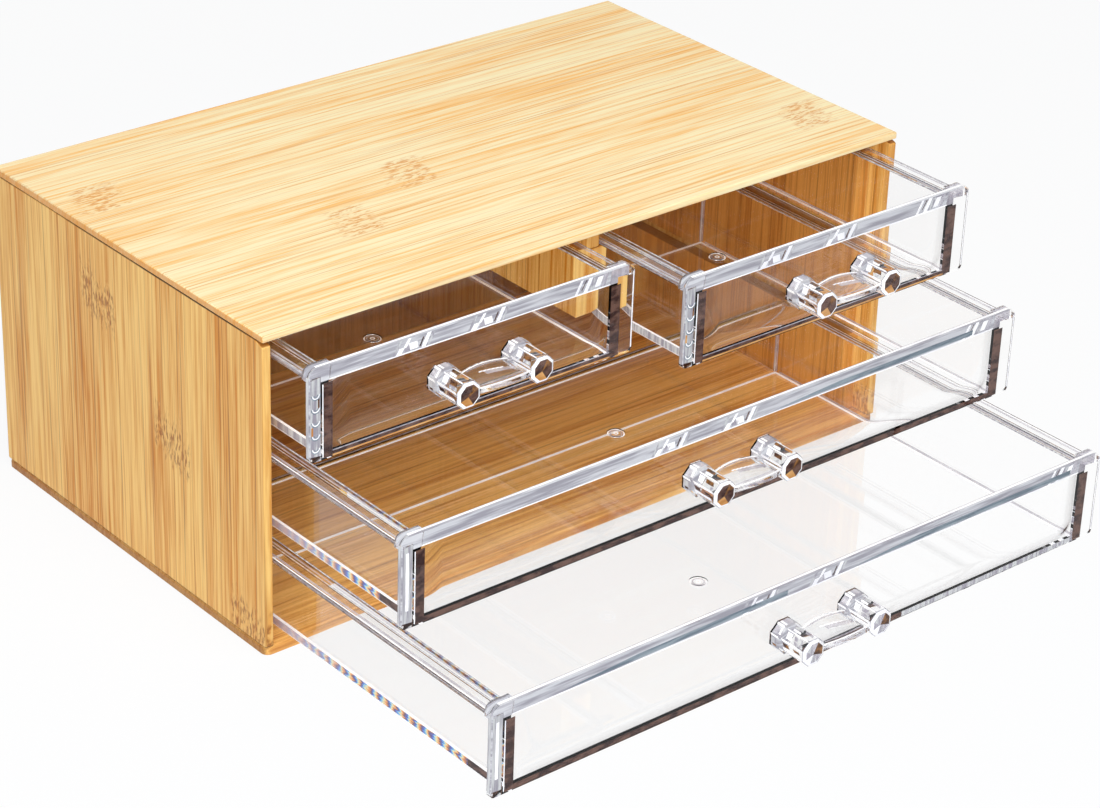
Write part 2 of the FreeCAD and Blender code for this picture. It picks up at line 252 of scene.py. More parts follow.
def wedge(corners, axis, start, stop):
    """Prism over a triangle: axis 0 carries y, z corners along X, axis 2 carries x, y corners up."""
    if axis == 0:
        return solid("wedge", lambda work: extrude(work, [(start, a, b) for a, b in corners], (stop - start, 0, 0)))
    return solid("wedge", lambda work: extrude(work, [(a, b, start) for a, b in corners], (0, 0, stop - start)))


def painted_light_slip(thing, kind, *corners):
    """Adds a box between two corners, or a thin slip over four, inside the plastic: painted highlight and shade held at
    an edge, in the tone of the given kind.
    """
    if len(corners) == 2:
        (x0, y0, z0), (x1, y1, z1) = corners
        foot = [Vector(point) for point in ((x0, y0, z0), (x1, y0, z0), (x1, y1, z0), (x0, y1, z0))]
        rise = Vector((0, 0, z1 - z0))
    else:
        foot = [Vector(corner) for corner in corners]
        rise = (foot[1] - foot[0]).cross(foot[3] - foot[0]).normalized() * SLIP
    work = bmesh.new()
    work.from_mesh(thing.data)
    points = [work.verts.new((corner + shift) * MM) for shift in (Vector(), rise) for corner in foot]
    for ring_of in ((3, 2, 1, 0), (4, 5, 6, 7), (0, 1, 5, 4), (1, 2, 6, 5), (2, 3, 7, 6), (3, 0, 4, 7)):
        work.faces.new([points[index] for index in ring_of]).material_index = kind
    work.to_mesh(thing.data)
    work.free()


def light_in_edges(body, low, high, left, right, rim, back, wide):
    """Painted highlights and shade: the bright and dark lines that the eye sees along the edges of clear plastic, drawn
    as slips inside it.
    """
    front, foot, head = low.y, low.z, high.z
    near = front + 0.25
    skin = 0.12
    rear = front + PLATE
    thin = rear - BEVEL_DEPTH
    # painted lines, mostly dark, at the ends of the walls and of the floor, seen through the front
    for x0, x1 in ((left, left + WALL), (right - WALL - 0.7, right)):
        painted_light_slip(body, DARK, (x0, near, foot + 0.3), (x1, near + 0.2, head - BEVEL_HEIGHT + 0.2))
    if wide:
        turn = right - WALL if foot > 20 else 40
        painted_light_slip(body, DARK, (left + WALL, near, foot + 0.2), (turn, near + 0.2, foot + 2.0))
        painted_light_slip(body, LILAC, (turn, near, foot + 0.2), (right - WALL, near + 0.2, foot + 2.0))
    else:
        painted_light_slip(body, ORANGE, (left + WALL, near, foot + 0.15), (right - WALL, near + 0.3, foot + 0.8))
        painted_light_slip(body, DARK, (left + WALL, near, foot + 0.8), (right - WALL, near + 0.3, foot + 1.9))
        painted_light_slip(body, VEIL, (left + WALL, near, foot + 1.95), (right - WALL, near + 0.2, foot + 2.3))
    # painted pale light in the bevel behind the top, with a painted white line under it
    painted_light_slip(
        body, PALE,
        (left + WALL + skin, rear - skin, head - BEVEL_HEIGHT), (right - WALL - skin, rear - skin, head - BEVEL_HEIGHT),
        (right - WALL - skin, thin - skin, head - skin), (left + WALL + skin, thin - skin, head - skin),
    )
    painted_light_slip(
        body, WHITE,
        (left + WALL, rear - 0.5, head - BEVEL_HEIGHT), (right - WALL, rear - 0.4, head - BEVEL_HEIGHT + 0.4),
    )
    # painted highlights along the top and ends of the front
    painted_light_slip(body, PALE, (low.x + 3, front + skin, head - 0.3), (high.x - 3, front + 0.7, head - skin))
    painted_light_slip(body, WHITE, (low.x + 3, front + 0.7, head - 0.3), (high.x - 3, thin - 0.1, head - skin))
    painted_light_slip(body, LILAC, (low.x + skin, front + 0.5, foot + 1.6), (low.x + 0.3, thin - skin, head - 3))
    painted_light_slip(body, PALE, (low.x + skin, front + skin, foot + 1.6), (low.x + 0.45, front + 0.4, head - 3))
    if wide:
        painted_light_slip(body, WHITE, (low.x + 1.9, near + 0.5, foot + 6), (low.x + 3.0, near + 0.6, head - 6))
    painted_light_slip(body, WHITE, (high.x - 0.5, front + skin, foot + 1.6), (high.x - skin, front + 0.4, head - 3))
    painted_light_slip(body, WHITE, (left - 0.45, near, foot + 0.6), (left - 0.15, near + 0.3, head - BEVEL_HEIGHT))
    # painted light in the bevel behind the left end, and in the thick corners above the walls
    painted_light_slip(
        body, LILAC,
        (low.x + skin, thin - skin, foot + 1.6), (left - 0.1, rear - 2 * skin, foot + 0.5),
        (left - 0.1, rear - 2 * skin, rim - FLANGE_THICKNESS - skin), (low.x + skin, thin - skin, rim - FLANGE_THICKNESS - skin),
    )
    under, lowest = rim - FLANGE_THICKNESS + skin, head - BEVEL_HEIGHT
    for kind, x0, x1, z0 in (
        (PALE, low.x + 1, left, under), (PALE, left, left + WALL, lowest),
        (VEIL, right - WALL, right, lowest), (VEIL, right, high.x - 1, under),
    ):
        painted_light_slip(body, kind, (x0, rear - 0.3, z0), (x1, rear - 0.3, z0), (x1, rear - 0.3, head - 1), (x0, rear - 0.3, head - 1))
    # painted highlights and dark lines on the rims of the tray, and on the edges of its floor
    top, floor = rim - skin, foot + FLOOR - 0.1
    outline, bright = (DARK, WHITE) if wide else (VEIL, LILAC)
    for tip, outer, inner in ((left - FLANGE, left, left + WALL), (right + FLANGE, right, right - WALL)):
        way = 1 if inner > outer else -1
        for kind, x, width in (
            (outline, tip + way * 0.05, 0.2), (bright, tip + way * 0.3, 0.45), (VEIL, tip + way * 1.2, 0.8),
            (BROWN, outer - way * 0.5, 0.25), (LILAC, outer + way * 0.1, 0.25), (VEIL, outer + way * 1.1, 0.6),
            (BROWN, inner - way * 1.1, 0.2), (LILAC, inner - way * 0.5, 0.4),
        ):
            x0, x1 = sorted((x, x + way * width))
            painted_light_slip(body, kind, (x0, rear + 0.2, top - 0.2), (x1, back - BACK_CORNER - 0.3, top))
        x0, x1 = sorted((inner + way * 0.1, inner + way * 1.1))
        painted_light_slip(body, WHITE, (x0, rear + 0.2, floor - 0.3), (x1, back - WALL - 0.1, floor))
        x0, x1 = sorted((inner - way * 1.6, inner))
        painted_light_slip(body, VEIL, (x0, back - WALL, floor), (x1, back - WALL + 1.6, top - 1))
        painted_light_slip(body, LILAC, (inner - 0.2, back - WALL + 0.2, floor), (inner + 0.2, back - WALL + 0.5, top - 1))
    painted_light_slip(body, WHITE, (left + WALL, back - WALL - 1.2, floor - 0.3), (right - WALL, back - WALL - 0.1, floor))
    painted_light_slip(body, WHITE, (left + BACK_CORNER, back - WALL + 0.2, top - 0.2), (right - BACK_CORNER, back - WALL + 0.7, top))
    painted_light_slip(body, VEIL, (left + BACK_CORNER, back - 0.8, top - 0.2), (right - BACK_CORNER, back - 0.2, top))
    # painted highlight rings round the gate mark in the floor
    hub = Vector(((low.x + high.x) / 2, front + GATE_SETBACK, foot + FLOOR - 0.5))
    for radius, kind in ((GATE_WIDTH / 2 - 0.2, WHITE), (GATE_WIDTH / 2 - 1.0, VEIL), (0.9, WHITE)):
        points = [hub + radius * Vector((math.cos(index * math.pi / 8), math.sin(index * math.pi / 8), 0)) for index in range(17)]
        for start, stop in zip(points, points[1:]):
            painted_light_slip(body, kind, start, stop, stop.lerp(hub, 0.45 / radius), start.lerp(hub, 0.45 / radius))
    # painted light on the lower edges of the side walls; the colours end in brown just behind the front
    painted_light_slip(body, RAINBOW if wide else LILAC, (left + skin, rear + 14, foot + 0.2), (left + 0.4, back - BACK_CORNER, foot + 2.7))
    painted_light_slip(body, DARK if wide else LILAC, (left + skin, rear + 0.2, foot + 0.2), (left + 0.4, rear + 14, foot + 2.7))
    painted_light_slip(body, VEIL, (right - 0.4, rear + 0.2, foot + 0.2), (right - skin, back - BACK_CORNER, foot + 1.4))


def mirrored(body, x, y, z, marks):
    """Painted reflection: a broken picture, in the bevel, of what stands under it, as leaning marks given by kind,
    place and lean.
    """
    depth = BEVEL_DEPTH / BEVEL_HEIGHT
    for kind, x0, x1, low, high, lean in marks:
        painted_light_slip(
            body, kind, (x + x0, y - low * depth, z + low), (x + x1, y - low * depth, z + low),
            (x + x1 + lean, y - high * depth, z + high), (x + x0 + lean, y - high * depth, z + high),
        )


def arches(body, x, y, z, count):
    """Painted reflection: a row of small hanging arches up the left end, the wall's back corner mirrored over and over
    in the bevel.
    """
    for index in range(count):
        hub = Vector((x, y, z + 4.6 * index))
        for kind, radius, width in ((SLATE, 1.9, 0.35), (WHITE, 1.5, 0.35), (SLATE, 0.9, 0.3)):
            points = [hub + radius * Vector((math.cos(step * math.pi / 6), 0, -math.sin(step * math.pi / 6))) for step in range(7)]
            for start, stop in zip(points, points[1:]):
                painted_light_slip(body, kind, start, stop, stop.lerp(hub, width / radius), start.lerp(hub, width / radius))


def patch(body, kind, near, far, first, last, low_side, high_side, lean=0.08):
    """Leaning four-cornered patch of painted light on a facet; near and far are the facet's two short edges."""
    def spot(along, aside):
        start, stop = (Vector(edge[0]).lerp(Vector(edge[1]), aside) for edge in (near, far))
        return start.lerp(stop, along)
    painted_light_slip(body, kind, spot(first, low_side), spot(first + lean, high_side), spot(last, high_side), spot(last - lean, low_side))


def knob_glints(body, x, y, z, mirrors_dark_case):
    """Painted reflections on a knob: its facets as they mirror one another, bright seams with patches of brown and grey
    between.
    """
    # knobs in front of the dark case get painted brown and dark reflections, the bottom one pale ones
    brown, tan, deep = (BROWN, ORANGE, DARK) if mirrors_dark_case else (LILAC, VEIL, BROWN)
    for start, stop, across, facets in (
        (-0.2, -COLLAR_LENGTH + 0.3, COLLAR_WIDTH, {
            0: ((WHITE, 0.1, 0.9, 0.0, 0.25),),
            1: ((VEIL, 0.05, 0.9, 0.1, 0.6), (WHITE, 0.1, 0.95, 0.72, 0.95)),
            2: ((WHITE, 0.0, 0.95, 0.02, 0.2), (VEIL, 0.1, 0.6, 0.3, 0.8), (WHITE, 0.7, 0.98, 0.25, 0.8)),
            3: ((WHITE, 0.0, 1.0, 0.0, 0.14), (LILAC, 0.1, 0.8, 0.25, 0.7), (deep, 0.3, 0.8, 0.75, 0.9)),
            4: ((WHITE, 0.0, 1.0, 0.1, 0.35), (deep, 0.1, 0.5, 0.4, 0.55), (VEIL, 0.0, 1.0, 0.6, 0.95)),
            7: ((WHITE, 0.1, 0.9, 0.7, 0.95),),
        }),
        (-COLLAR_LENGTH - 0.1, -KNOB_LENGTH + KNOB_CHAMFER, KNOB_WIDTH, {
            0: ((brown, 0.1, 0.8, 0.3, 0.7), (WHITE, 0.0, 1.0, 0.0, 0.12)),
            1: ((brown, 0.04, 0.5, 0.1, 0.5), (tan, 0.5, 0.92, 0.08, 0.42), (WHITE, 0.15, 0.55, 0.6, 0.92), (WHITE, 0.0, 1.0, 0.0, 0.06)),
            2: ((WHITE, 0.0, 1.0, 0.0, 0.12), (WHITE, 0.1, 0.4, 0.2, 0.8), (brown, 0.42, 0.85, 0.25, 0.6), (LILAC, 0.5, 0.95, 0.66, 0.95)),
            3: ((WHITE, 0.0, 1.0, 0.0, 0.18), (deep, 0.08, 0.42, 0.3, 0.62), (deep, 0.55, 0.9, 0.36, 0.56), (WHITE, 0.1, 0.95, 0.7, 0.92)),
            4: ((WHITE, 0.0, 1.0, 0.05, 0.3), (brown, 0.1, 0.6, 0.4, 0.55), (WHITE, 0.0, 1.0, 0.65, 0.95)),
            5: ((VEIL, 0.0, 1.0, 0.2, 0.8),),
            7: ((WHITE, 0.0, 1.0, 0.8, 0.98), (brown, 0.2, 0.8, 0.3, 0.6)),
        }),
    ):
        rings = [octagon(x, y + off, z, across - 0.4) for off in (start, stop)]
        for index, kinds in facets.items():
            near, far = ((ring_of[index], ring_of[(index + 1) % 8]) for ring_of in rings)
            for kind, first, last, low_side, high_side in kinds:
                patch(body, kind, near, far, first, last, low_side, high_side)
    # painted pale light through the middle of the collar
    rings = [octagon(x, y + off, z, COLLAR_WIDTH - 1.8) for off in (-0.3, -COLLAR_LENGTH + 0.3)]
    for index in range(8):
        after = (index + 1) % 8
        painted_light_slip(body, PALE, rings[0][index], rings[0][after], rings[1][after], rings[1][index])
    painted_light_slip(body, PALE, *[rings[1][index] for index in (0, 1, 2, 3)])
    painted_light_slip(body, PALE, *[rings[1][index] for index in (0, 3, 4, 7)])
    painted_light_slip(body, PALE, *[rings[1][index] for index in (4, 5, 6, 7)])
    # painted end of the knob, with a painted white rim round it
    tip = y - KNOB_LENGTH + 0.25
    hub = Vector((x - 0.5, tip, z - 0.4))
    rim_of = [Vector(point) for point in octagon(x, tip, z, KNOB_WIDTH - 2 * KNOB_CHAMFER - 0.7)]
    ends = (BROWN, DARK, DARK, DARK, ORANGE, ORANGE, DARK, DARK) if mirrors_dark_case else (BROWN, VEIL, LILAC, VEIL, WHITE, LILAC, VEIL, BROWN)
    for index, kind in enumerate(ends):
        after = rim_of[(index + 1) % 8]
        painted_light_slip(body, kind, hub, rim_of[index], rim_of[index].lerp(after, 0.5), after)
    rings = [octagon(x, tip - 0.1 + off, z, KNOB_WIDTH - 2 * KNOB_CHAMFER - 0.6 + grow) for off, grow in ((0, 0), (0.75, 1.3))]
    for index in range(8):
        after = (index + 1) % 8
        painted_light_slip(body, WHITE, rings[0][index], rings[0][after], rings[1][after], rings[1][index])


def bridge_glints(body, x, y, z):
    """Painted highlights: bright rims along the bridge's two long edges and a soft streak across it."""
    half = KNOB_SPACING / 2 - KNOB_WIDTH / 2
    level = z + (BRIDGE - BRIDGE_RISE) / 2 - 0.2
    count = 14

    def spot(step, share):
        u = (-1 + 2 * step / count) * half / (KNOB_SPACING / 2)
        bow = BRIDGE_BOW * (1 - u * u)
        back, front = y - BRIDGE_BACK + bow, y - BRIDGE_FRONT - bow
        return (x + u * KNOB_SPACING / 2, back + (front - back) * share, level + BRIDGE_RISE * (1 - u * u))
    for kind, low_share, high_share, start, stop in (
        (WHITE, 0.02, 0.06, 0, count), (VEIL, 0.08, 0.12, 2, count), (WHITE, 0.93, 0.98, 0, count),
        (WHITE, 0.3, 0.34, 4, 10), (VEIL, 0.36, 0.5, 5, 12), (VEIL, 0.84, 0.88, 1, count - 2),
    ):
        for step in range(start, stop):
            drift = 0.02 * (step - start) if 0.2 < low_share < 0.6 else 0
            painted_light_slip(
                body, kind, spot(step, low_share + drift), spot(step + 1, low_share + drift),
                spot(step + 1, high_share + drift), spot(step, high_share + drift),
            )


def swelling(x0, x1, y, z0, z1):
    """Back of the front between the walls, which swells a little toward the walls and the floor."""
    reach, height = 8.0, 0.6
    near = [x0 + reach * (index / 10) for index in range(10)]
    columns = near + [x0 + reach + (x1 - x0 - 2 * reach) * index / 12 for index in range(13)]
    columns += [x1 - step + x0 for step in near[::-1]]
    rows = [z0 + reach * index / 8 for index in range(9)] + [z1]

    def lift(x, z):
        way = [max(0.0, 1 - far / reach) for far in (x - x0, x1 - x, (z - z0) * 1.3)]
        return 0.02 + height * min(1.0, sum(share ** 2 for share in way))

    def build(work):
        face = [[work.verts.new((x, y + lift(x, z), z)) for z in rows] for x in columns]
        rear = [[work.verts.new((x, y - 0.5, z)) for z in rows] for x in columns]
        for i in range(len(columns) - 1):
            for j in range(len(rows) - 1):
                for grid in (face, rear):
                    work.faces.new((grid[i][j], grid[i + 1][j], grid[i + 1][j + 1], grid[i][j + 1]))
        for i in range(len(columns) - 1):
            for j in (0, -1):
                work.faces.new((face[i][j], face[i + 1][j], rear[i + 1][j], rear[i][j]))
        for j in range(len(rows) - 1):
            for i in (0, -1):
                work.faces.new((face[i][j], face[i][j + 1], rear[i][j + 1], rear[i][j]))
    return solid("swelling", build)


def drawer(name):
    """One clear drawer in the place of its tray, plate and handle solids."""
    low, high = (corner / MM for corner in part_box(name + "_plate"))
    tray_low, tray_high = (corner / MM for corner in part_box(name + "_tray"))
    left, right = tray_low.x + FLANGE, tray_high.x - FLANGE
    front, foot, head = low.y, low.z, high.z
    back, rim = tray_high.y, tray_high.z
    rear = front + PLATE
    thin = rear - BEVEL_DEPTH
    seam = 0.01

    outline = rounded(low.x, high.x, foot, head, (PLATE_FOOT_RADIUS,) * 2 + (PLATE_TOP_RADIUS,) * 2)
    body = solid(name + "_drawer", lambda work: extrude(
        work, [(px, front, pz) for px, pz in outline], (0, PLATE, 0)
    ))
    slope = BEVEL_DEPTH / BEVEL_HEIGHT
    body = cut(body, wedge(
        ((rear + slope, head - BEVEL_HEIGHT - 1), (rear + slope, head + 1), (thin - slope, head + 1)), 0,
        left + WALL, right - WALL,
    ))
    for end, start in ((low.x, left), (high.x, right)):
        out = 1 if end > start else -1
        slope = BEVEL_DEPTH / abs(end - start)
        body = cut(body, wedge(
            ((start - out, rear + slope), (end + out, rear + slope), (end + out, thin - slope)), 2,
            foot - 1, rim - FLANGE_THICKNESS,
        ))

    outside = rounded(left, right, rear - seam, back, (0, 0, BACK_CORNER, BACK_CORNER))
    tray = solid("tray", lambda work: extrude(
        work, [(px, py, foot) for px, py in outside], (0, 0, rim - foot)
    ))
    inside = rounded(
        left + WALL, right - WALL, front, back - WALL, (0, 0, INNER_CORNER, INNER_CORNER)
    )
    tray = cut(tray, solid("inside", lambda work: extrude(
        work, [(px, py, foot + FLOOR) for px, py in inside], (0, 0, 40)
    )))
    for x0, x1 in ((tray_low.x, left + 1), (right - 1, tray_high.x)):
        tray = join(tray, block(x0, x1, rear - seam, back - BACK_CORNER, rim - FLANGE_THICKNESS, rim))
    middle_x = (low.x + high.x) / 2
    gate_y = front + GATE_SETBACK
    tray = cut(tray, ring(middle_x, gate_y, foot + FLOOR - 0.35, GATE_WIDTH / 2, GATE_WIDTH / 2 - 0.6, 1))
    body = join(body, tray)
    body = join(body, swelling(
        left + WALL - 0.05, right - WALL + 0.05, rear, foot + FLOOR - 0.05, head - BEVEL_HEIGHT - 0.05
    ))

    middle_z = (foot + head) / 2 - HANDLE_DROP
    grip = bridge(middle_x, front, middle_z)
    for side in (-0.5, 0.5):
        grip = join(grip, knob(middle_x + side * KNOB_SPACING, front, middle_z))
    body = join(body, grip)
    # painted highlights, reflections and shade in the clear plastic, drawn as slips inside it
    light_in_edges(body, low, high, left, right, rim, back, name in ("middle", "bottom"))
    for side in (-0.5, 0.5):
        knob_glints(body, middle_x + side * KNOB_SPACING, front, middle_z, name != "bottom")
        mirrored(body, middle_x + side * KNOB_SPACING - 9, rear - 0.3, head - BEVEL_HEIGHT, (
            (LILAC, -8.5, -7.4, 0.4, 5.4, 2.2), (WHITE, -7.2, -5.0, 0.3, 2.6, 1.2), (WHITE, -4.4, -3.2, 2.4, 5.6, 1.6),
            (VEIL, -4.0, -1.5, 0.6, 3.0, 1.0), (WHITE, -1.6, 1.6, 1.0, 3.6, -0.8), (DARK, 1.9, 2.5, 1.2, 4.4, 1.0),
            (WHITE, 2.8, 4.4, 0.6, 5.6, 1.8), (LILAC, 5.0, 5.8, 0.6, 5.0, 1.8),
        ))
    mirrored(body, right - WALL - 9, rear - 0.3, head - BEVEL_HEIGHT, (
        (WHITE, -6.0, -4.9, 0.3, 5.8, 2.0), (DARK, -3.4, -3.0, 1.6, 5.2, 1.6), (WHITE, -2.4, -0.8, 0.4, 5.6, 1.8),
        (LILAC, -0.2, 1.6, 0.6, 5.0, 1.4), (WHITE, 2.2, 4.4, 1.2, 4.8, 1.0), (VEIL, 4.8, 6.8, 0.6, 5.4, 0.8),
    ))
    bridge_glints(body, middle_x, front, middle_z)
    # painted reflections up the left end of the upper drawers
    if name.startswith("upper"):
        arches(body, low.x + 2.6, front + 0.3, foot + 4.5, 5)
        painted_light_slip(body, ORANGE, (low.x + 0.9, front + 0.4, foot + 9), (low.x + 1.6, front + 0.5, foot + 12))
        painted_light_slip(body, BROWN, (low.x + 3.4, front + 0.4, foot + 18), (low.x + 4.0, front + 0.5, foot + 22))
    # painted slate-grey reflection bands in the bevel of the wide drawers
    slate = {"middle": ((20, 112),), "bottom": ((-104, -12), (16, 118))}
    for start, stop in slate.get(name, ()):
        depth = BEVEL_DEPTH / BEVEL_HEIGHT
        low_z, high_z = head - BEVEL_HEIGHT + 0.9, head - BEVEL_HEIGHT + 2.9
        painted_light_slip(
            body, SLATE, (start, rear - 0.35 - 0.9 * depth, low_z), (stop, rear - 0.35 - 0.9 * depth, low_z),
            (stop, rear - 0.35 - 2.9 * depth, high_z), (start + 30, rear - 0.35 - 2.9 * depth, high_z),
        )
    for polygon in body.data.polygons:
        polygon.use_smooth = polygon.material_index == CLEAR
    body.data.set_sharp_from_angle(angle=math.radians(12))
    return body


# Materials

def colour(code):
    """sRGB hex to the linear values Blender works in."""
    parts = [int(code[index:index + 2], 16) / 255 for index in (1, 3, 5)]
    return [part / 12.92 if part <= 0.04045 else ((part + 0.055) / 1.055) ** 2.4 for part in parts] + [1]


def add(tree, kind, out=None, **values):
    """Adds a node. Lower-case names are its properties, others its sockets, which take a value or a link."""
    made = tree.nodes.new("ShaderNode" + kind)
    for key, value in values.items():
        if key[0].islower() and not key.startswith("in_"):
            setattr(made, key, value)
            continue
        spot = made.inputs[int(key[3:])] if key.startswith("in_") else made.inputs[key.replace("_", " ")]
        if isinstance(value, bpy.types.NodeSocket):
            tree.links.new(value, spot)
        else:
            spot.default_value = value
    if out:
        return made.outputs[out]
    return next((socket for socket in made.outputs if socket.enabled), None)


def new_material(name):
    made = bpy.data.materials.new(name)
    made.use_nodes = True
    made.node_tree.nodes.clear()
    return made, made.node_tree


def dress(thing, material):
    thing.data.materials.clear()
    thing.data.materials.append(material)


def lacquered_bamboo(name, axes, pale, tan, dark, knuckles=(), ends=(-900, 900)):
    """Board glued up from bamboo slats under thin lacquer. Fine fibres run along the slats, whose tones
    differ a little, with toasted streaks and here and there the flecks of a knuckle; end grain is darker,
    and a thin band of painted shade marks the seam at the board's two ends. The axes are the fibres',
    the slats' and the board's own; knuckles and ends are places in millimetres along the first two."""
    material, tree = new_material(name)
    place = tree.nodes.new("ShaderNodeTexCoord")
    sight = add(tree, "Mapping", in_0=place.outputs["Object"], in_3=(1000, 1000, 1000))
    split = tree.nodes.new("ShaderNodeSeparateXYZ")
    tree.links.new(sight, split.inputs[0])
    run, wide, deep = (split.outputs[axis] for axis in axes)
    facing = tree.nodes.new("ShaderNodeSeparateXYZ")
    tree.links.new(place.outputs["Normal"], facing.inputs[0])

    def number(operation, *values):
        return add(tree, "Math", operation=operation, **{f"in_{index}": value for index, value in enumerate(values)})

    def grain(length, width, detail, seed):
        spot = add(
            tree, "CombineXYZ", in_0=number("DIVIDE", run, length), in_1=number("DIVIDE", wide, width),
            in_2=number("ADD", number("DIVIDE", deep, width * 3), seed),
        )
        return add(tree, "TexNoise", in_0=spot, Scale=1.0, Detail=detail, Roughness=0.6, Distortion=0.2)

    def between(value, low, high, low_to=0.0, high_to=1.0):
        return add(
            tree, "MapRange", Value=value, From_Min=low, From_Max=high, To_Min=low_to, To_Max=high_to,
        )

    def mixed(factor, first, second):
        add(tree, "Mix", data_type="RGBA", Factor=factor, in_6=first, in_7=second)
        return tree.nodes[-1].outputs[2]

    slat = number("FLOOR", number("DIVIDE", number("SUBTRACT", wide, SLAT_START), SLAT))
    lot = add(tree, "TexWhiteNoise", noise_dimensions="1D", out="Value", W=slat)
    fine = grain(34.0, 0.7, 3.0, 0.0)
    streak = grain(90.0, 1.9, 4.0, 7.0)
    broad = grain(300.0, 20.0, 2.0, 3.0)
    tone = number("ADD", between(fine, 0.38, 0.62, 0.0, 0.6), between(streak, 0.42, 0.62, 0.0, 0.7))
    tone = number("ADD", tone, number("ADD", between(broad, 0.35, 0.65, -0.25, 0.3), between(lot, 0.0, 1.0, -0.12, 0.12)))
    wood = mixed(between(tone, 0.2, 1.35), colour(pale), colour(tan))

    lines = between(grain(120.0, 0.9, 2.0, 11.0), 0.57, 0.68, 0.0, 0.6)
    knuckle = 0.0
    waver = between(grain(9.0, 3.0, 2.0, 5.0), 0.3, 0.7, -4.0, 4.0)
    for along, aside in knuckles:
        across = number("SUBTRACT", wide, aside)
        slant = number("ADD", number("SUBTRACT", number("SUBTRACT", run, along), number("MULTIPLY", across, 0.25)), waver)
        spot = between(number("ABSOLUTE", across), SLAT / 2 - 1.5, SLAT / 2 + 0.5, 1.0, 0.0)
        spot = number("MULTIPLY", spot, between(number("ABSOLUTE", slant), 4.5, 9.5, 1.0, 0.0))
        knuckle = number("MAXIMUM", spot, knuckle)
    fleck = grain(3.4, 0.9, 2.0, 13.0)
    wood = mixed(number("MULTIPLY", between(fleck, 0.49, 0.4, 0.0, 0.6), knuckle), wood, colour(pale))
    fleck = number("MULTIPLY", between(fleck, 0.49, 0.6, 0.08, 0.75), knuckle)
    wood = mixed(number("MAXIMUM", lines, fleck), wood, colour(dark))

    end_grain = between(number("ABSOLUTE", facing.outputs[axes[0]]), 0.6, 0.9, 0.0, 0.7)
    # painted shade: a thin dark band along the seam at each end of the board, patchy with noise
    seam_shade = number("MAXIMUM", between(run, ends[0] + 0.5, ends[0] + 0.2), between(run, ends[1] - 0.5, ends[1] - 0.2))
    seam_shade = number("MULTIPLY", seam_shade, between(grain(40.0, 30.0, 1.0, 2.0), 0.3, 0.6, 0.3, 1.0))
    shade = mixed(seam_shade, mixed(end_grain, wood, colour(dark)), colour("#4A2E18"))
    sheen = between(fine, 0.3, 0.7, 0.34, 0.5)
    relief = add(tree, "Bump", out="Normal", Strength=0.25, Distance=0.0002, Height=fine)
    skin = add(tree, "BsdfPrincipled", Base_Color=shade, Roughness=sheen, IOR=1.45, Specular_IOR_Level=0.35, Coat_Weight=0.1, Coat_Roughness=0.25, Normal=relief)
    add(tree, "OutputMaterial", Surface=skin)
    return material


def clear_styrene():
    """Crystal polystyrene, moulded in a polished tool: clear right through; the brightness at its edges is painted by
    slips inside the drawers.
    """
    material, tree = new_material("clear_polystyrene")
    glass = add(
        tree, "BsdfPrincipled", Base_Color=colour("#FFFFFF"), Roughness=0.0, IOR=1.59, Transmission_Weight=1.0,
        Specular_Tint=(0.3, 0.3, 0.32, 1),
    )
    add(tree, "OutputMaterial", Surface=glass)
    return material


def edge_light(name, first, second, stretch, shine=0.0, alpha=1.0):
    """Painted reflection for an edge of clear plastic: the room mirrored inside it, in streaks of two tones, with a
    painted glow at the given strength.
    The stretch is the streaks' length in millimetres along X, Y and Z."""
    material, tree = new_material(name)
    sight = add(tree, "Mapping", in_0=add(tree, "TexCoord", out="Object"), in_3=[1000 / length for length in stretch])
    cloud = add(tree, "TexNoise", in_0=sight, Scale=1.0, Detail=2.0, Roughness=0.6)
    tone = add(tree, "MapRange", Value=cloud, From_Min=0.4, From_Max=0.6)
    add(tree, "Mix", data_type="RGBA", Factor=tone, in_6=colour(first), in_7=colour(second))
    shade = tree.nodes[-1].outputs[2]
    # painted glow: the slip gives off its own tone at the given strength
    skin = add(
        tree, "BsdfPrincipled", Base_Color=shade, Roughness=0.5, IOR=1.59, Specular_IOR_Level=0.0,
        Emission_Color=shade, Emission_Strength=shine, Alpha=alpha,
    )
    add(tree, "OutputMaterial", Surface=skin)
    return material


def spectrum_edge():
    """Painted light on the lower edge of a drawer's side wall: daylight split into short bright bands of colour, with a
    faint painted glow.
    """
    material, tree = new_material("painted_light_spectrum")
    split = tree.nodes.new("ShaderNodeSeparateXYZ")
    tree.links.new(add(tree, "Mapping", in_0=add(tree, "TexCoord", out="Object"), in_3=(1000, 1000, 1000)), split.inputs[0])
    turn = add(tree, "Math", operation="DIVIDE", in_0=split.outputs["Y"], in_1=-4.4)
    turn = add(tree, "Math", operation="ADD", in_0=turn, in_1=add(tree, "TexNoise", Scale=40.0, Detail=1.0))
    turn = add(tree, "Math", operation="FRACT", in_0=turn)
    rain = add(tree, "ValToRGB", Fac=turn)
    ramp = tree.nodes[-1].color_ramp.elements
    for spot, code in ((0.18, "#2C44BE"), (0.36, "#5CB8EA"), (0.55, "#F4EBA8"), (0.78, "#EE9440")):
        ramp.new(spot).color = colour(code)
    ramp[0].color = ramp[-1].color = colour("#5A3A48")
    strength = add(tree, "MapRange", Value=split.outputs["Y"], From_Min=-78.0, From_Max=-112.0, To_Min=0.12, To_Max=0.9)
    add(tree, "Mix", data_type="RGBA", Factor=strength, in_6=colour("#C6C0D0"), in_7=rain)
    shade = tree.nodes[-1].outputs[2]
    # painted glow at a strength of 0.1
    skin = add(tree, "BsdfPrincipled", Base_Color=shade, Roughness=0.4, IOR=1.59, Emission_Color=shade, Emission_Strength=0.1)
    add(tree, "OutputMaterial", Surface=skin)
    return material


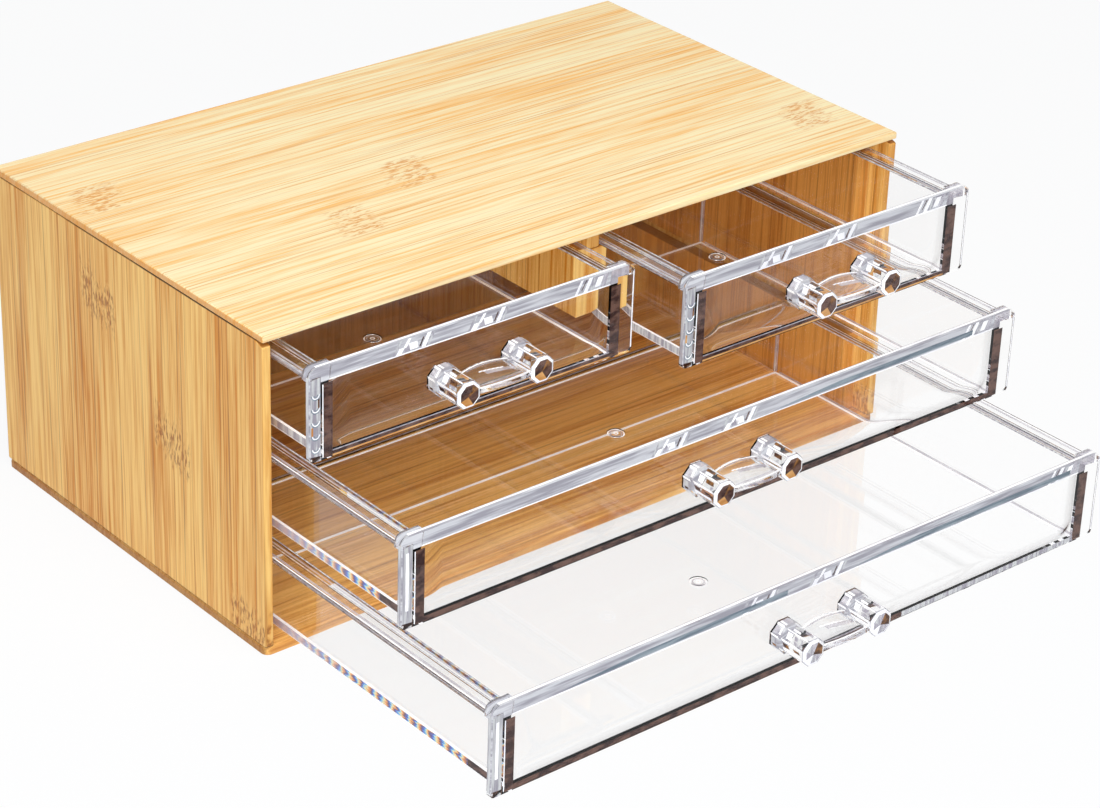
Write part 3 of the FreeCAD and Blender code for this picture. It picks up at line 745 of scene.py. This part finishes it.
lid_finish = lacquered_bamboo(
    "bamboo_lid", "XYZ", "#FFEFBE", "#FABA5C", "#DC8A18", ((-121, 36), (-24, -6), (-62, -27), (119, -48)),
)
base_finish = lacquered_bamboo("bamboo_base", "XYZ", "#FFC872", "#C4782C", "#945C22")
side_finish = lacquered_bamboo(
    "bamboo_side", "ZYX", "#FACC78", "#D28628", "#8E4A04", ((90, 15), (55, -27), (7, -69)), (3.0, 111.5),
)
# the back panel is bamboo like the sides in darker tones: painted shade for the dim inside of the case
back_finish = lacquered_bamboo("bamboo_back_painted_shade", "ZXY", "#9C6838", "#6C401E", "#4A2812", ((80, -48), (30, 36)), (3.0, 111.5))
strip_finish = lacquered_bamboo("bamboo_strip", "ZYX", "#E0A050", "#B06C28", "#8A5424")
# slots of a drawer's materials: clear polystyrene first, then the tones of painted highlight, reflection and shade in
# its edges
CLEAR, PALE, WHITE, DARK, VEIL, ORANGE, SLATE, RAINBOW, BROWN, LILAC = range(10)
plastic = (
    clear_styrene(),
    edge_light("painted_light_pale", "#A09EA8", "#D2D3D8", (24, 8, 1.6), 0.08),
    edge_light("painted_light_white", "#EFEFF4", "#FFFFFF", (9, 9, 4), 0.2),
    edge_light("painted_shade_dark", "#3C2A28", "#6E5248", (5, 5, 2.2)),
    edge_light("painted_light_veil", "#B0AAB6", "#D6D2DA", (3, 12, 5), 0.0, 0.45),
    edge_light("painted_light_orange", "#C08448", "#DCA96C", (12, 6, 3)),
    edge_light("painted_light_slate", "#6F7E8A", "#9AA7B0", (16, 6, 1.2)),
    spectrum_edge(),
    edge_light("painted_reflection_brown", "#4A3024", "#96683C", (2.4, 2.4, 2.4)),
    edge_light("painted_light_lilac", "#A6A2AE", "#DADCDD", (1.3, 1.3, 16)),
)
for label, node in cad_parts.items():
    if label == "top_board":
        dress(node, lid_finish)
    elif label == "bottom_board":
        dress(node, base_finish)
    elif label == "back_panel":
        dress(node, back_finish)
    elif label.startswith("side_"):
        dress(node, side_finish)
    elif label.startswith("runner_"):
        dress(node, strip_finish)
    elif label.startswith("divider_"):
        dress(node, side_finish)
    else:
        continue
    node.modifiers.new("one_skin", "WELD").merge_threshold = 0.01 * MM
    eased = node.modifiers.new("eased_edges", "BEVEL")
    eased.width = EASED * MM
    eased.segments = 2
    eased.limit_method = "ANGLE"
    eased.angle_limit = math.radians(50)
    eased.harden_normals = True

for name in DRAWERS:
    piece = drawer(name)
    for material in plastic:
        piece.data.materials.append(material)
    piece.visible_shadow = False
    piece.visible_diffuse = False
    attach(piece, name + "_drawer")
    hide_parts(name + "_tray", name + "_plate", name + "_handle")


# Floor, light and camera

def studio():
    """White sweep and soft daylight; the floor and the sky show as white to the lens and in the plastic."""
    scene = bpy.context.scene
    material, tree = new_material("paper_sweep")
    path = tree.nodes.new("ShaderNodeLightPath")
    seen = add(tree, "Math", operation="MAXIMUM", in_0=path.outputs["Is Camera Ray"], in_1=path.outputs["Is Glossy Ray"])
    seen = add(tree, "Math", operation="MAXIMUM", in_0=seen, in_1=path.outputs["Is Transmission Ray"])
    paper = add(tree, "BsdfDiffuse", Color=colour("#EEF2F8"))
    glow = add(tree, "Emission", Color=(1, 1, 1, 1), Strength=1.0)
    lift = add(tree, "Math", operation="MULTIPLY", in_0=seen, in_1=0.9)
    add(tree, "OutputMaterial", Surface=add(tree, "MixShader", in_0=lift, in_1=paper, in_2=glow))
    floor = solid("floor", lambda work: extrude(
        work, [(-3000, -3000, -20), (3000, -3000, -20), (3000, 3000, -20), (-3000, 3000, -20)], (0, 0, 20)
    ))
    dress(floor, material)

    world = bpy.data.worlds.new("white_room")
    scene.world = world
    world.use_nodes = True
    tree = world.node_tree
    tree.nodes.clear()
    path = tree.nodes.new("ShaderNodeLightPath")
    seen = add(tree, "Math", operation="MAXIMUM", in_0=path.outputs["Is Camera Ray"], in_1=path.outputs["Is Glossy Ray"])
    seen = add(tree, "Math", operation="MAXIMUM", in_0=seen, in_1=path.outputs["Is Transmission Ray"])
    room = add(tree, "Background", Color=(1, 1, 1, 1), Strength=0.24)
    white = add(tree, "Background", Color=(1, 1, 1, 1), Strength=1.0)
    add(tree, "OutputWorld", Surface=add(tree, "MixShader", in_0=seen, in_1=room, in_2=white))

    for label, spot, power, wide in (("softbox", (-0.3, -0.5, 1.3), 15.2, 1.2), ("front_softbox", (-0.95, -1.1, 0.5), 8.0, 0.9)):
        lamp = bpy.data.lights.new(label, "AREA")
        lamp.shape = "RECTANGLE"
        lamp.size = wide
        lamp.size_y = wide * 0.8
        lamp.energy = power
        light = bpy.data.objects.new(label, lamp)
        light.location = spot
        light.rotation_euler = (Vector((0, -0.05, 0.05)) - light.location).to_track_quat("-Z", "Y").to_euler()
        scene.collection.objects.link(light)


def photographers_camera():
    """The photograph's view, fitted to the corners of the case and the drawers."""
    azimuth, elevation, roll = (math.radians(angle) for angle in (-40.484, 27.946, 2.037))
    aim = Vector((12.40, -40.0, 28.47)) * MM
    distance = 1123.0 * MM
    back = Vector((
        math.sin(azimuth) * math.cos(elevation), -math.cos(azimuth) * math.cos(elevation), math.sin(elevation)
    ))
    right = Vector((0, 0, 1)).cross(back).normalized()
    up = back.cross(right)
    turned_right = math.cos(roll) * right + math.sin(roll) * up
    turned_up = math.cos(roll) * up - math.sin(roll) * right
    lens = bpy.data.cameras.new("camera")
    lens.sensor_width = 36
    lens.lens = 3227.7 / 1100 * 36
    lens.clip_start = 0.01
    camera = bpy.data.objects.new("camera", lens)
    turn = Matrix((turned_right, turned_up, back)).transposed().to_4x4()
    camera.matrix_world = Matrix.Translation(aim + back * distance) @ turn
    bpy.context.scene.collection.objects.link(camera)
    bpy.context.scene.camera = camera


studio()
photographers_camera()
bpy.context.scene.view_settings.view_transform = "Standard"

bpy.context.view_layer.update()
